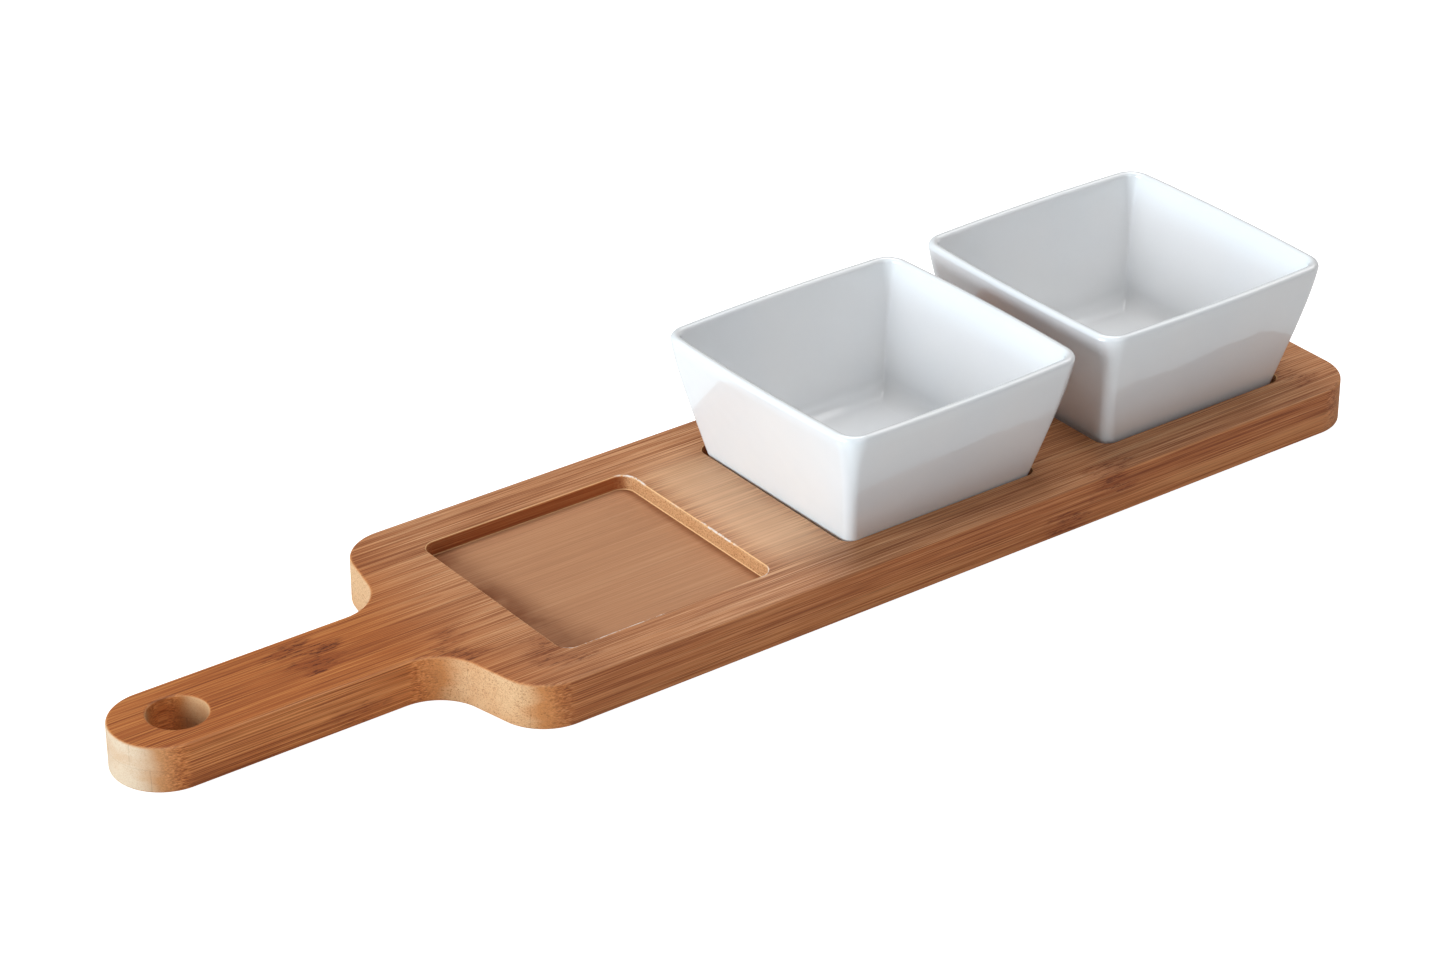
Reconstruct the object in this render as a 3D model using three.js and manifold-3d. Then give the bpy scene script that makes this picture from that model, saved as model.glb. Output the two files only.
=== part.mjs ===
// Chip and dip server: a laminated bamboo paddle board with a row of three square recesses,
// and two square porcelain dip bowls that sit loosely in two of them.
// Millimetres, +Z up. X runs from the handle's tip to the far end, Y across the board.
// The origin is on the underside, at the middle of the board's length and width.
import * as THREE from "three";
import { mergeVertices } from "three/addons/utils/BufferGeometryUtils.js";
import Module from "manifold-3d";

// Board outline
const BOARD_LENGTH = 459;
const BOARD_WIDTH = 114;
const BOARD_THICKNESS = 16;
const HANDLE_WIDTH = 34.5;
const FAR_CORNER_RADIUS = 17.5;
const SHOULDER_X = -119; // middle of the S-curve between handle and body
const SHOULDER_INNER_RADIUS = 16.8;
const SHOULDER_OUTER_RADIUS = 17.7;
const SHOULDER_LEAN = THREE.MathUtils.degToRad(12.5); // how far the riser leans from square

// Hanging hole through the handle
const HOLE_RADIUS = 9.6;
const HOLE_X = -207.2;

// Recesses, all alike, in one row along the board
const RECESS_SIDE = 81.3;
const RECESS_DEPTH = 5.3;
const RECESS_CORNER_RADIUS = 5;
const RECESS_PITCH = 110;
const EMPTY_RECESS_X = -53.1;

// Laminations: two plies of strips glued edge to edge, with staggered joints
const PLY_SPLIT_Z = BOARD_THICKNESS / 2;
const TOP_STRIP_WIDTH = 21;
const TOP_FIRST_JOINT_Y = -48.9;
const TOP_STRIPS = 6;
const BOTTOM_STRIP_WIDTH = 19.2;
const BOTTOM_FIRST_JOINT_Y = -50.8;
const BOTTOM_STRIPS = 7;
const GLUE_LINE = 0.1;

// Dip bowls: square, flared, with a rounded lip
const BOWL_HEIGHT = 49.5;
const BOWL_RIM_SIDE = 99.8;
const BOWL_BASE_SIDE = 76;
const BOWL_RIM_CORNER_RADIUS = 9;
const BOWL_BASE_CORNER_RADIUS = 5;
const BOWL_WALL = 3.4;
const BOWL_FLOOR = 4.2;
const BOWL_FLOOR_RADIUS = 7; // fillet between the inner floor and walls
const BOWL_FOOT_RADIUS = 1.6; // rounding under the base
const BOWL_SIDE_BOW = 1; // how far each rim side swells out at its middle
const BOWL_CLEARANCE = 0.3; // between the foot and the recess floor

// How each bowl lies in its recess, with the play that a loose bowl has
const BOWLS = [
  { name: "near_bowl", recess: 1, shift: [-0.3, -0.9], turn: 0.4 },
  { name: "far_bowl", recess: 2, shift: [0.6, 0.3], turn: 0.3 },
];

const ARC_STEPS = 12; // segments in a quarter circle of the outline
const BOWL_ARC_STEPS = 6; // segments in a bowl's vertical corner
const BOWL_SIDE_STEPS = 4; // segments along a bowl's side

const HALF_LENGTH = BOARD_LENGTH / 2;
const HALF_WIDTH = BOARD_WIDTH / 2;
const HANDLE_RADIUS = HANDLE_WIDTH / 2;

const wasm = await Module();
wasm.setup();

// A closed three.js geometry as a solid that can be cut.
function solid(geometry) {
  const plain = geometry.index ? geometry.toNonIndexed() : geometry.clone();
  plain.deleteAttribute("normal");
  plain.deleteAttribute("uv");
  const merged = mergeVertices(plain, 1e-4);
  const mesh = new wasm.Mesh({
    numProp: 3,
    vertProperties: merged.attributes.position.array,
    triVerts: new Uint32Array(merged.index.array),
  });
  return new wasm.Manifold(mesh);
}

// A cut solid back as a three.js geometry.
function geometryOf(manifold) {
  const mesh = manifold.getMesh();
  const geometry = new THREE.BufferGeometry();
  geometry.setAttribute("position", new THREE.BufferAttribute(mesh.vertProperties, 3));
  geometry.setIndex(new THREE.BufferAttribute(mesh.triVerts, 1));
  geometry.computeVertexNormals();
  return geometry;
}

// A flat shape raised from one height to another.
function slab(shape, low, high) {
  const options = { depth: high - low, bevelEnabled: false, curveSegments: ARC_STEPS };
  const geometry = new THREE.ExtrudeGeometry(shape, options);
  return solid(geometry.translate(0, 0, low));
}

function box(low, high) {
  const size = high.map((value, i) => value - low[i]);
  const middle = high.map((value, i) => (value + low[i]) / 2);
  return solid(new THREE.BoxGeometry(...size).translate(...middle));
}

// The paddle outline, drawn anticlockwise from the far end round the handle's tip.
function paddleShape() {
  const lean = SHOULDER_LEAN;
  const turned = Math.PI / 2 - lean; // how far each shoulder arc turns
  const rise = HALF_WIDTH - HANDLE_RADIUS;
  const arcRise = (SHOULDER_INNER_RADIUS + SHOULDER_OUTER_RADIUS) * (1 - Math.cos(turned));
  const riser = (rise - arcRise) / Math.sin(turned);
  const halfRun = (riser * Math.cos(turned)) / 2;
  const innerX = SHOULDER_X - halfRun - SHOULDER_INNER_RADIUS * Math.sin(turned);
  const outerX = SHOULDER_X + halfRun + SHOULDER_OUTER_RADIUS * Math.sin(turned);
  const innerY = HANDLE_RADIUS + SHOULDER_INNER_RADIUS;
  const outerY = HALF_WIDTH - SHOULDER_OUTER_RADIUS;
  const cornerX = HALF_LENGTH - FAR_CORNER_RADIUS;
  const cornerY = HALF_WIDTH - FAR_CORNER_RADIUS;
  const tipX = -HALF_LENGTH + HANDLE_RADIUS;
  const down = -Math.PI / 2;
  const up = Math.PI / 2;

  const shape = new THREE.Shape();
  shape.absarc(cornerX, cornerY, FAR_CORNER_RADIUS, 0, up, false);
  shape.absarc(outerX, outerY, SHOULDER_OUTER_RADIUS, up, up + turned, false);
  shape.absarc(innerX, innerY, SHOULDER_INNER_RADIUS, down + turned, down, true);
  shape.absarc(tipX, 0, HANDLE_RADIUS, up, Math.PI + up, false);
  shape.absarc(innerX, -innerY, SHOULDER_INNER_RADIUS, up, up - turned, true);
  shape.absarc(outerX, -outerY, SHOULDER_OUTER_RADIUS, down - turned, down, false);
  shape.absarc(cornerX, -cornerY, FAR_CORNER_RADIUS, down, 0, false);
  shape.closePath();
  return shape;
}

// A square with rounded corners.
function roundedSquare(side, radius, x, y) {
  const reach = side / 2 - radius;
  const shape = new THREE.Shape();
  for (let i = 0; i < 4; i++) {
    const start = (i * Math.PI) / 2;
    const cornerX = x + (i === 0 || i === 3 ? reach : -reach);
    const cornerY = y + (i < 2 ? reach : -reach);
    shape.absarc(cornerX, cornerY, radius, start, start + Math.PI / 2, false);
  }
  shape.closePath();
  return shape;
}

function recessX(index) {
  return EMPTY_RECESS_X + index * RECESS_PITCH;
}

function makeBoard() {
  const outline = paddleShape();
  outline.holes.push(new THREE.Path().absarc(HOLE_X, 0, HOLE_RADIUS, 0, 2 * Math.PI, true));
  let board = slab(outline, 0, BOARD_THICKNESS);
  for (let i = 0; i < 3; i++) {
    const square = roundedSquare(RECESS_SIDE, RECESS_CORNER_RADIUS, recessX(i), 0);
    const floor = BOARD_THICKNESS - RECESS_DEPTH;
    board = board.subtract(slab(square, floor, BOARD_THICKNESS + 1));
  }
  return board;
}

// Cuts one ply of the board into strips along its glue joints.
function plyStrips(board, ply, count, firstJoint, width, low, high) {
  const edge = HALF_WIDTH + 1;
  const strips = [];
  for (let i = 0; i < count; i++) {
    const left = i === 0 ? -edge : firstJoint + (i - 1) * width + GLUE_LINE / 2;
    const right = i === count - 1 ? edge : firstJoint + i * width - GLUE_LINE / 2;
    const cutter = box([-HALF_LENGTH - 1, left, low], [HALF_LENGTH + 1, right, high]);
    strips.push({ name: `${ply}_strip_${i + 1}`, geometry: geometryOf(board.intersect(cutter)) });
  }
  return strips;
}

// One horizontal ring of a bowl: a rounded square whose sides swell a little.
function bowlRing(side, radius, bow) {
  const reach = side / 2 - radius;
  const ring = [];
  for (let i = 0; i < 4; i++) {
    const start = (i * Math.PI) / 2;
    const centre = new THREE.Vector2(reach, reach).rotateAround(new THREE.Vector2(), start);
    for (let j = 0; j <= BOWL_ARC_STEPS; j++) {
      const angle = start + ((j / BOWL_ARC_STEPS) * Math.PI) / 2;
      ring.push([centre.x + radius * Math.cos(angle), centre.y + radius * Math.sin(angle)]);
    }
    const outward = new THREE.Vector2(0, 1).rotateAround(new THREE.Vector2(), start);
    const along = new THREE.Vector2(-1, 0).rotateAround(new THREE.Vector2(), start);
    for (let j = 1; j < BOWL_SIDE_STEPS; j++) {
      const t = (2 * j) / BOWL_SIDE_STEPS - 1;
      const out = side / 2 + bow * (1 - t * t);
      ring.push([along.x * t * reach + outward.x * out, along.y * t * reach + outward.y * out]);
    }
  }
  return ring;
}

// Rings from the middle of the base, up the outside, over the lip and down to the inner floor.
function bowlRings() {
  const slope = (BOWL_RIM_SIDE - BOWL_BASE_SIDE) / BOWL_HEIGHT; // growth of the side with height
  const lip = BOWL_WALL / 2;
  const rings = [];
  const add = (side, z) => {
    const share = THREE.MathUtils.clamp(z / BOWL_HEIGHT, 0, 1);
    const corner = THREE.MathUtils.lerp(BOWL_BASE_CORNER_RADIUS, BOWL_RIM_CORNER_RADIUS, share);
    const inset = (BOWL_BASE_SIDE + slope * z - side) / 2;
    const radius = Math.max(corner - inset, 0.8);
    rings.push({ points: bowlRing(side, radius, BOWL_SIDE_BOW * share), z });
  };
  for (const angle of [0, 45, 90]) {
    const a = THREE.MathUtils.degToRad(angle);
    const z = BOWL_FOOT_RADIUS * (1 - Math.cos(a));
    add(BOWL_BASE_SIDE + slope * z - 2 * BOWL_FOOT_RADIUS * (1 - Math.sin(a)), z);
  }
  for (const angle of [0, 36, 72, 108, 144, 180]) {
    const a = THREE.MathUtils.degToRad(angle);
    const z = BOWL_HEIGHT - lip + lip * Math.sin(a);
    const middle = BOWL_RIM_SIDE - slope * lip - 2 * lip;
    add(middle + 2 * lip * Math.cos(a), z);
  }
  for (const angle of [0, 30, 60, 90]) {
    const a = THREE.MathUtils.degToRad(angle);
    const z = BOWL_FLOOR + BOWL_FLOOR_RADIUS * (1 - Math.sin(a));
    const wall = BOWL_BASE_SIDE + slope * (BOWL_FLOOR + BOWL_FLOOR_RADIUS) - 2 * BOWL_WALL;
    add(wall - 2 * BOWL_FLOOR_RADIUS * (1 - Math.cos(a)), z);
  }
  return rings;
}

// A closed skin through the rings, capped flat at both ends.
function bowlGeometry() {
  const rings = bowlRings();
  const around = rings[0].points.length;
  const positions = [];
  for (const ring of rings) {
    for (const [x, y] of ring.points) positions.push(x, y, ring.z);
  }
  const last = rings.length - 1;
  positions.push(0, 0, rings[0].z, 0, 0, rings[last].z);
  const baseMiddle = rings.length * around;
  const floorMiddle = baseMiddle + 1;
  const index = [];
  for (let i = 0; i < around; i++) {
    const next = (i + 1) % around;
    index.push(baseMiddle, next, i);
    for (let j = 0; j < last; j++) {
      const low = j * around;
      const high = low + around;
      index.push(low + i, low + next, high + next, low + i, high + next, high + i);
    }
    index.push(floorMiddle, last * around + i, last * around + next);
  }
  const geometry = new THREE.BufferGeometry();
  geometry.setAttribute("position", new THREE.Float32BufferAttribute(positions, 3));
  geometry.setIndex(index);
  geometry.computeVertexNormals();
  return geometry;
}

const bamboo = new THREE.MeshStandardMaterial({ color: 0xb8804f, roughness: 0.55, metalness: 0 });
const porcelain = new THREE.MeshStandardMaterial({ color: 0xf2f2f0, roughness: 0.12, metalness: 0 });

const server = new THREE.Group();

const board = makeBoard();
const strips = [
  ...plyStrips(board, "top", TOP_STRIPS, TOP_FIRST_JOINT_Y, TOP_STRIP_WIDTH,
    PLY_SPLIT_Z + GLUE_LINE / 2, BOARD_THICKNESS + 1),
  ...plyStrips(board, "bottom", BOTTOM_STRIPS, BOTTOM_FIRST_JOINT_Y, BOTTOM_STRIP_WIDTH,
    -1, PLY_SPLIT_Z - GLUE_LINE / 2),
];
for (const { name, geometry } of strips) {
  const strip = new THREE.Mesh(geometry, bamboo);
  strip.name = name;
  server.add(strip);
}

const bowlShape = bowlGeometry();
for (const { name, recess, shift, turn } of BOWLS) {
  const bowl = new THREE.Mesh(bowlShape, porcelain);
  bowl.name = name;
  const floor = BOARD_THICKNESS - RECESS_DEPTH;
  bowl.position.set(recessX(recess) + shift[0], shift[1], floor + BOWL_CLEARANCE);
  bowl.rotation.z = THREE.MathUtils.degToRad(turn);
  server.add(bowl);
}

export default server;
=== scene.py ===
"""Looks of a chip and dip server: a laminated bamboo paddle board with two square porcelain bowls.

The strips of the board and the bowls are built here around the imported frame, each in the place of
its CAD node. Lengths are metres; MM turns the millimetres of the joinery into metres.
"""

import math

import bmesh
import bpy
from bpy.props import CollectionProperty, FloatProperty, FloatVectorProperty, IntProperty
from bpy.props import PointerProperty, StringProperty
from mathutils import Matrix, Vector


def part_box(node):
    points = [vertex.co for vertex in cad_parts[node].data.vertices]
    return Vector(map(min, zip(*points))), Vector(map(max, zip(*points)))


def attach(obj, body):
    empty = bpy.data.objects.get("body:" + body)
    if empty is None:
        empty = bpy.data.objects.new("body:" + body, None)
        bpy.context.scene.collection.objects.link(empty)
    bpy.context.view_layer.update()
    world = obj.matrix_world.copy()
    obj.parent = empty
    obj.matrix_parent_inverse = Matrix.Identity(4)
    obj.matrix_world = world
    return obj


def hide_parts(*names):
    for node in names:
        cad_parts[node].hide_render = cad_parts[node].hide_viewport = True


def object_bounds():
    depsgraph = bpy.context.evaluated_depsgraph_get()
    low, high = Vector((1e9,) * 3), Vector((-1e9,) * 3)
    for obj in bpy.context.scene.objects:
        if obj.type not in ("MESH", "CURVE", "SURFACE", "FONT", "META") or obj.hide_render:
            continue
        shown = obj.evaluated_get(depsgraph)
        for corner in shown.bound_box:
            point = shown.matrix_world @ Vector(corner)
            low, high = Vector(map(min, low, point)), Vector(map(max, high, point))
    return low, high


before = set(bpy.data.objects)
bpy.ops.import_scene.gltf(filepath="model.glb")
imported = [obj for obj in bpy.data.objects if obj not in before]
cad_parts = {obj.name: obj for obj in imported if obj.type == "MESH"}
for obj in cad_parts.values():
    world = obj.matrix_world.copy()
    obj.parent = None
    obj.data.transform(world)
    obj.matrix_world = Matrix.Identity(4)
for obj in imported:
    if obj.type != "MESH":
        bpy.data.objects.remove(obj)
cad_low, cad_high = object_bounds()

bl_info = {
    "name": "Chip and dip server",
    "version": (1, 0, 0),
    "blender": (4, 5, 0),
    "location": "View3D > Sidebar > Server",
    "description": "Bamboo paddle board with routed recesses and square porcelain dip bowls",
    "category": "Add Mesh",
}

MM = 0.001
QUARTER = math.pi / 2
SHARP = math.radians(35)
FLAT = 0.99999

TOP_STRIPS = [f"top_strip_{i}" for i in range(1, 7)]
BOTTOM_STRIPS = [f"bottom_strip_{i}" for i in range(1, 8)]
# turn in the recess in degrees, slump of the rim along X and Y in mm and its twist in degrees
BOWLS = {
    "near_bowl": (0.4, -0.1, -1.5, 0.7),
    "far_bowl": (0.3, 0.6, 0.2, 0.2),
}
# tone, strength of the growth rings, place of one and gap between them in mm, from the front back
STRIP_FINISHES = {
    "top_strip_1": (0.52, 0.8, 116, 300),
    "top_strip_2": (0.56, 0.7, -95, 305),
    "top_strip_3": (0.50, 0.7, -121, 310),
    "top_strip_4": (0.52, 1.0, -160, 330),
    "top_strip_5": (0.44, 0.4, -20, 240),
    "top_strip_6": (0.55, 0.5, 60, 260),
    "bottom_strip_1": (0.30, 0.7, 100, 280),
    "bottom_strip_2": (0.50, 0.5, -40, 260),
    "bottom_strip_3": (0.60, 0.5, -150, 280),
    "bottom_strip_4": (0.45, 0.5, 30, 250),
    "bottom_strip_5": (0.50, 0.5, -100, 270),
    "bottom_strip_6": (0.45, 0.5, 140, 260),
    "bottom_strip_7": (0.45, 0.5, -10, 250),
}

RECESSES = 3
GLUE_GAP = 0.1 * MM
SMALLEST_CORNER = 0.8 * MM

# Steps round the curved parts of the meshes
ARRIS_STEPS = 5
FILLET_STEPS = 4
FOOT_STEPS = 8
WALL_STEPS = 12
LIP_STEPS = 16
CORNER_STEPS = 12
SIDE_STEPS = 14

# What multiplies the wood's own colour where it took up more oil or where a cutter dwelt, and where
# shade is painted inside the hanging hole and on the recess floors
GRIP_OIL = (0.86, 0.59, 0.31)
PLANED_SIDE = (1.02, 0.78, 0.58)
GRIP_SIDE = (1.28, 1.28, 1.12)
SHOULDER_CUT = (1.03, 0.82, 0.61)
# Painted shade inside the hanging hole
HOLE_WALL_SHADE = (0.86, 0.66, 0.46)
# Painted shadow along the left end of a recess floor, mixed with real smudges, and a darker strip along
# the right end
FLOOR_SHADOW_AND_STAIN = (0.42, 0.26, 0.15)

# Share of the floor's own glow that shows in gloss
GLOW_IN_GLOSS = 0.26

# azimuth and height in degrees, width and depth in metres, and colour of each light
LAMP_DISTANCE = 4
LAMPS = {
    "key": (-92, 16, (2.4, 1.8), (0.925, 0.985, 1.05)),
    "low": (-92, 4.6, (2.4, 0.6), (0.66, 1.02, 1.14)),
    "fill": (150, 72, (2.4, 2.0), (1, 1, 1)),
    "end": (95, 45, (2.4, 2.0), (1, 1, 1)),
    "front": (-12, 34, (2.4, 2.0), (1, 1, 1)),
}


# ---------------------------------------------------------------- settings


def length_prop(name, description, millimetres):
    """A length that a user may change, stored in metres."""
    return FloatProperty(
        name=name, description=description, default=millimetres * MM, unit="LENGTH", precision=5
    )


def colour_prop(name, description, default):
    """A linear RGB colour that a user may change."""
    return FloatVectorProperty(
        name=name, description=description, default=default, size=3, subtype="COLOR", min=0, max=1
    )


def share_prop(name, description, default):
    """A share from 0 to 1 that a user may change."""
    return FloatProperty(
        name=name, description=description, default=default, min=0, max=1, subtype="FACTOR"
    )


class BoardSettings(bpy.types.PropertyGroup):
    """Sizes of the paddle board that its strips' boxes don't give."""

    handle_width: length_prop("Handle width", "Across the handle and its round end", 34.5)
    far_corner: length_prop("Far corner", "Radius of the two far corners", 17.5)
    shoulder_x: length_prop("Shoulder", "Where the S-curve between handle and body has its middle", -119)
    shoulder_inner: length_prop("Inner shoulder", "Radius of the hollow half of the S-curve", 16.8)
    shoulder_outer: length_prop("Outer shoulder", "Radius of the full half of the S-curve", 17.7)
    shoulder_lean: FloatProperty(
        name="Shoulder lean",
        description="How far the riser of the S-curve leans from square",
        default=math.radians(12.5),
        subtype="ANGLE",
    )
    hole_radius: length_prop("Hole radius", "Radius of the hanging hole", 9.6)
    hole_x: length_prop("Hole", "Centre of the hanging hole", -207.2)
    recess_side: length_prop("Recess side", "Side of each square recess", 81.3)
    recess_depth: length_prop("Recess depth", "Depth of each recess", 5.3)
    recess_corner: length_prop("Recess corner", "Radius the cutter leaves in the corners", 5)
    recess_pitch: length_prop("Recess pitch", "From one recess to the next", 110)
    empty_recess_x: length_prop("Empty recess", "Centre of the recess nearest the handle", -53.1)
    arris: length_prop("Arris", "Rounding of the board's outer edges", 0.9)
    hole_arris: length_prop("Hole arris", "Rounding of the hole's edges", 0.7)
    recess_arris: length_prop("Recess arris", "Rounding of the recess edges", 0.35)
    floor_fillet: length_prop("Floor fillet", "Fillet between a recess floor and its walls", 0.4)
    arc_step: length_prop("Arc step", "Longest step along a curved edge", 0.5)


class BowlSettings(bpy.types.PropertyGroup):
    """Sizes of the dip bowls."""

    rim_side: length_prop("Rim side", "Outside of the rim, across flats", 99.8)
    base_side: length_prop("Base side", "Outside of the base, across flats", 76)
    rim_corner: length_prop("Rim corner", "Radius of the rim's corners", 9)
    base_corner: length_prop("Base corner", "Radius of the base's corners", 3.8)
    corner_flare: FloatProperty(
        name="Corner flare",
        description="How late up the wall its corners open out; 1 is evenly",
        default=4.5,
    )
    wall: length_prop("Wall", "Thickness of the walls", 3.4)
    floor: length_prop("Floor", "Thickness of the floor", 4.2)
    floor_radius: length_prop("Floor radius", "Fillet between the inner floor and walls", 7)
    foot_radius: length_prop("Foot radius", "Rounding under the base", 1.6)
    foot_inset: length_prop("Foot inset", "From the base's outside to the foot ring's inside", 6)
    foot_height: length_prop("Foot height", "How far the glazed middle is above the foot ring", 0.9)
    side_bow: length_prop("Side bow", "How far each rim side swells out at its middle", 1)


class StripFinish(bpy.types.PropertyGroup):
    """How one strip of bamboo differs from the others."""

    tone: share_prop("Tone", "0 is pale, 1 is dark", 0.5)
    ring: share_prop("Ring strength", "How plainly the growth rings show", 0.5)
    node_x: length_prop("Growth ring", "Where a growth ring of the cane crosses the strip", 0)
    node_gap: length_prop("Ring gap", "From one growth ring to the next", 260)


class BambooSettings(bpy.types.PropertyGroup):
    """Colours of the oiled bamboo."""

    straw: colour_prop("Straw", "The lightest cane between the fibres", (0.68, 0.37, 0.19))
    honey: colour_prop("Honey", "The usual cane between the fibres", (0.51, 0.217, 0.092))
    amber: colour_prop("Amber", "The darkest cane between the fibres", (0.25, 0.080, 0.026))
    fibre: colour_prop("Fibre", "The dark fibre bundles", (0.13, 0.035, 0.011))
    # The growth-ring colour also paints the shade on the recess walls that face along Y
    ring: colour_prop("Growth ring", "The reddish cane at a growth ring", (0.26, 0.065, 0.017))
    cut_pale: colour_prop("Pale end grain", "End grain between the fibres", (0.70, 0.545, 0.395))
    cut_warm: colour_prop("Warm end grain", "End grain that took up more oil", (0.55, 0.27, 0.115))
    cut_dot: colour_prop("End-grain dots", "Fibre bundles cut through", (0.33, 0.125, 0.04))
    recess_wall: colour_prop("Recess wall", "End grain in a recess wall", (0.60, 0.29, 0.12))
    recess_floor: colour_prop("Recess floor", "The drier floor of a recess", (0.49, 0.245, 0.125))
    # Painted highlight along the edges of a recess
    recess_rim_highlight: colour_prop("Recess rim", "The rubbed edges of a recess", (0.92, 0.56, 0.27))
    scorch: colour_prop("Scorch", "Where the cutter burned the recess floor", (0.06, 0.020, 0.008))
    # Painted sheen on the bridge between the first two recesses
    bridge: colour_prop("Bridge", "The sanded bridge between two recesses", (0.80, 0.49, 0.29))
    glue: colour_prop("Glue line", "The line between two strips", (0.10, 0.035, 0.015))
    torn: colour_prop("Torn fibre", "Dry fibre ends along the routed edges", (0.80, 0.70, 0.62))
    roughness: share_prop("Roughness", "Roughness of the oiled surface", 0.52)


class PorcelainSettings(bpy.types.PropertyGroup):
    """Colours and gloss of the porcelain."""

    glaze: colour_prop("Glaze", "The white glaze", (0.86, 0.865, 0.87))
    biscuit: colour_prop("Biscuit", "The unglazed foot", (0.72, 0.68, 0.61))
    roughness: share_prop("Roughness", "Roughness of the body under the glaze", 0.3)
    coat_roughness: share_prop("Glaze roughness", "Roughness of the glaze", 0.04)


class StudioSettings(bpy.types.PropertyGroup):
    """The camera's place and the light."""

    azimuth: FloatProperty(
        name="Azimuth", description="Camera bearing", default=math.radians(-36.6), subtype="ANGLE"
    )
    elevation: FloatProperty(
        name="Elevation", description="Camera height angle", default=math.radians(28.92), subtype="ANGLE"
    )
    roll: FloatProperty(
        name="Roll", description="Camera roll", default=math.radians(-0.16), subtype="ANGLE"
    )
    distance: length_prop("Distance", "From the aimed point to the camera", 1441.9)
    aim_x: length_prop("Aim X", "The aimed point on the floor, along the board", 26.7)
    aim_y: length_prop("Aim Y", "The aimed point on the floor, across the board", 39.7)
    lens: FloatProperty(name="Lens", description="Focal length", default=106.45, unit="CAMERA")
    surround: FloatProperty(name="Surround", description="Light from all round", default=0.175)
    glow: FloatProperty(name="Glow", description="How far the floor is overexposed", default=0.95)
    key: FloatProperty(name="Key", description="Power of the light from the handle side", default=124)
    low: FloatProperty(name="Low", description="Power of the low light from the handle side", default=45)
    fill: FloatProperty(name="Fill", description="Power of the light from overhead", default=71)
    end: FloatProperty(name="End", description="Power of the light from the far end", default=30)
    front: FloatProperty(name="Front", description="Power of the weak light from the front", default=23)


SETTINGS = {
    "server_board": BoardSettings,
    "server_bowl": BowlSettings,
    "server_bamboo": BambooSettings,
    "server_porcelain": PorcelainSettings,
    "server_studio": StudioSettings,
}


# ---------------------------------------------------------------- outlines


def arc(cx, cy, radius, start, turn, step):
    """Points and outward normals along an arc; a clockwise arc is a hollow in the outline."""
    count = max(4, round(abs(turn) * radius / step))
    side = 1 if turn > 0 else -1
    loop = []
    for i in range(count + 1):
        angle = start + turn * i / count
        along, across = math.cos(angle), math.sin(angle)
        loop.append((cx + radius * along, cy + radius * across, side * along, side * across))
    return loop


def paddle_loop(board, length, width):
    """The board's outline, anticlockwise from the far end round the handle's tip."""
    grip = board.handle_width / 2
    half = width / 2
    turned = QUARTER - board.shoulder_lean
    radii = board.shoulder_inner + board.shoulder_outer
    riser = (half - grip - radii * (1 - math.cos(turned))) / math.sin(turned)
    half_run = riser * math.cos(turned) / 2
    inner_x = board.shoulder_x - half_run - board.shoulder_inner * math.sin(turned)
    outer_x = board.shoulder_x + half_run + board.shoulder_outer * math.sin(turned)
    inner_y = grip + board.shoulder_inner
    outer_y = half - board.shoulder_outer
    corner_x = length / 2 - board.far_corner
    corner_y = half - board.far_corner
    tip_x = -length / 2 + grip
    step = board.arc_step
    loop = arc(corner_x, corner_y, board.far_corner, 0, QUARTER, step)
    loop += arc(outer_x, outer_y, board.shoulder_outer, QUARTER, turned, step)
    loop += arc(inner_x, inner_y, board.shoulder_inner, turned - QUARTER, -turned, step)
    loop += arc(tip_x, 0, grip, QUARTER, math.pi, step)
    loop += arc(inner_x, -inner_y, board.shoulder_inner, QUARTER, -turned, step)
    loop += arc(outer_x, -outer_y, board.shoulder_outer, -QUARTER - turned, turned, step)
    loop += arc(corner_x, -corner_y, board.far_corner, -QUARTER, QUARTER, step)
    return loop


def square_loop(side, radius, x, step):
    """A rounded square, anticlockwise, with normals that point out of the square."""
    reach = side / 2 - radius
    loop = []
    for i, (sx, sy) in enumerate([(1, 1), (-1, 1), (-1, -1), (1, -1)]):
        loop += arc(x + sx * reach, sy * reach, radius, i * QUARTER, QUARTER, step)
    return loop


# ---------------------------------------------------------------- mesh making


def add_ring(mesh, loop, outset, z):
    """One closed ring of vertices, the loop moved out along its normals."""
    return [mesh.verts.new((x + nx * outset, y + ny * outset, z)) for x, y, nx, ny in loop]


def bridge(mesh, lower, upper, material=0):
    """Quads between two rings of the same length; the left of the loop's run is inside."""
    count = len(lower)
    for i in range(count):
        j = (i + 1) % count
        face = mesh.faces.new((lower[i], lower[j], upper[j], upper[i]))
        face.material_index = material


def ring_edges(mesh, ring):
    """The edges round a ring."""
    return [mesh.edges.get((ring[i - 1], ring[i])) for i in range(len(ring))]


def quarter_profile(radius, steps):
    """(inset, rise) pairs along a quarter round, from lying flat to standing upright."""
    pairs = []
    for i in range(steps + 1):
        angle = QUARTER * i / steps
        pairs.append((radius * (1 - math.sin(angle)), radius * (1 - math.cos(angle))))
    return pairs


def bridge_all(mesh, rings, flip=False):
    """Quads through a list of rings."""
    for lower, upper in zip(rings, rings[1:]):
        if flip:
            bridge(mesh, upper, lower)
        else:
            bridge(mesh, lower, upper)


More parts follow.
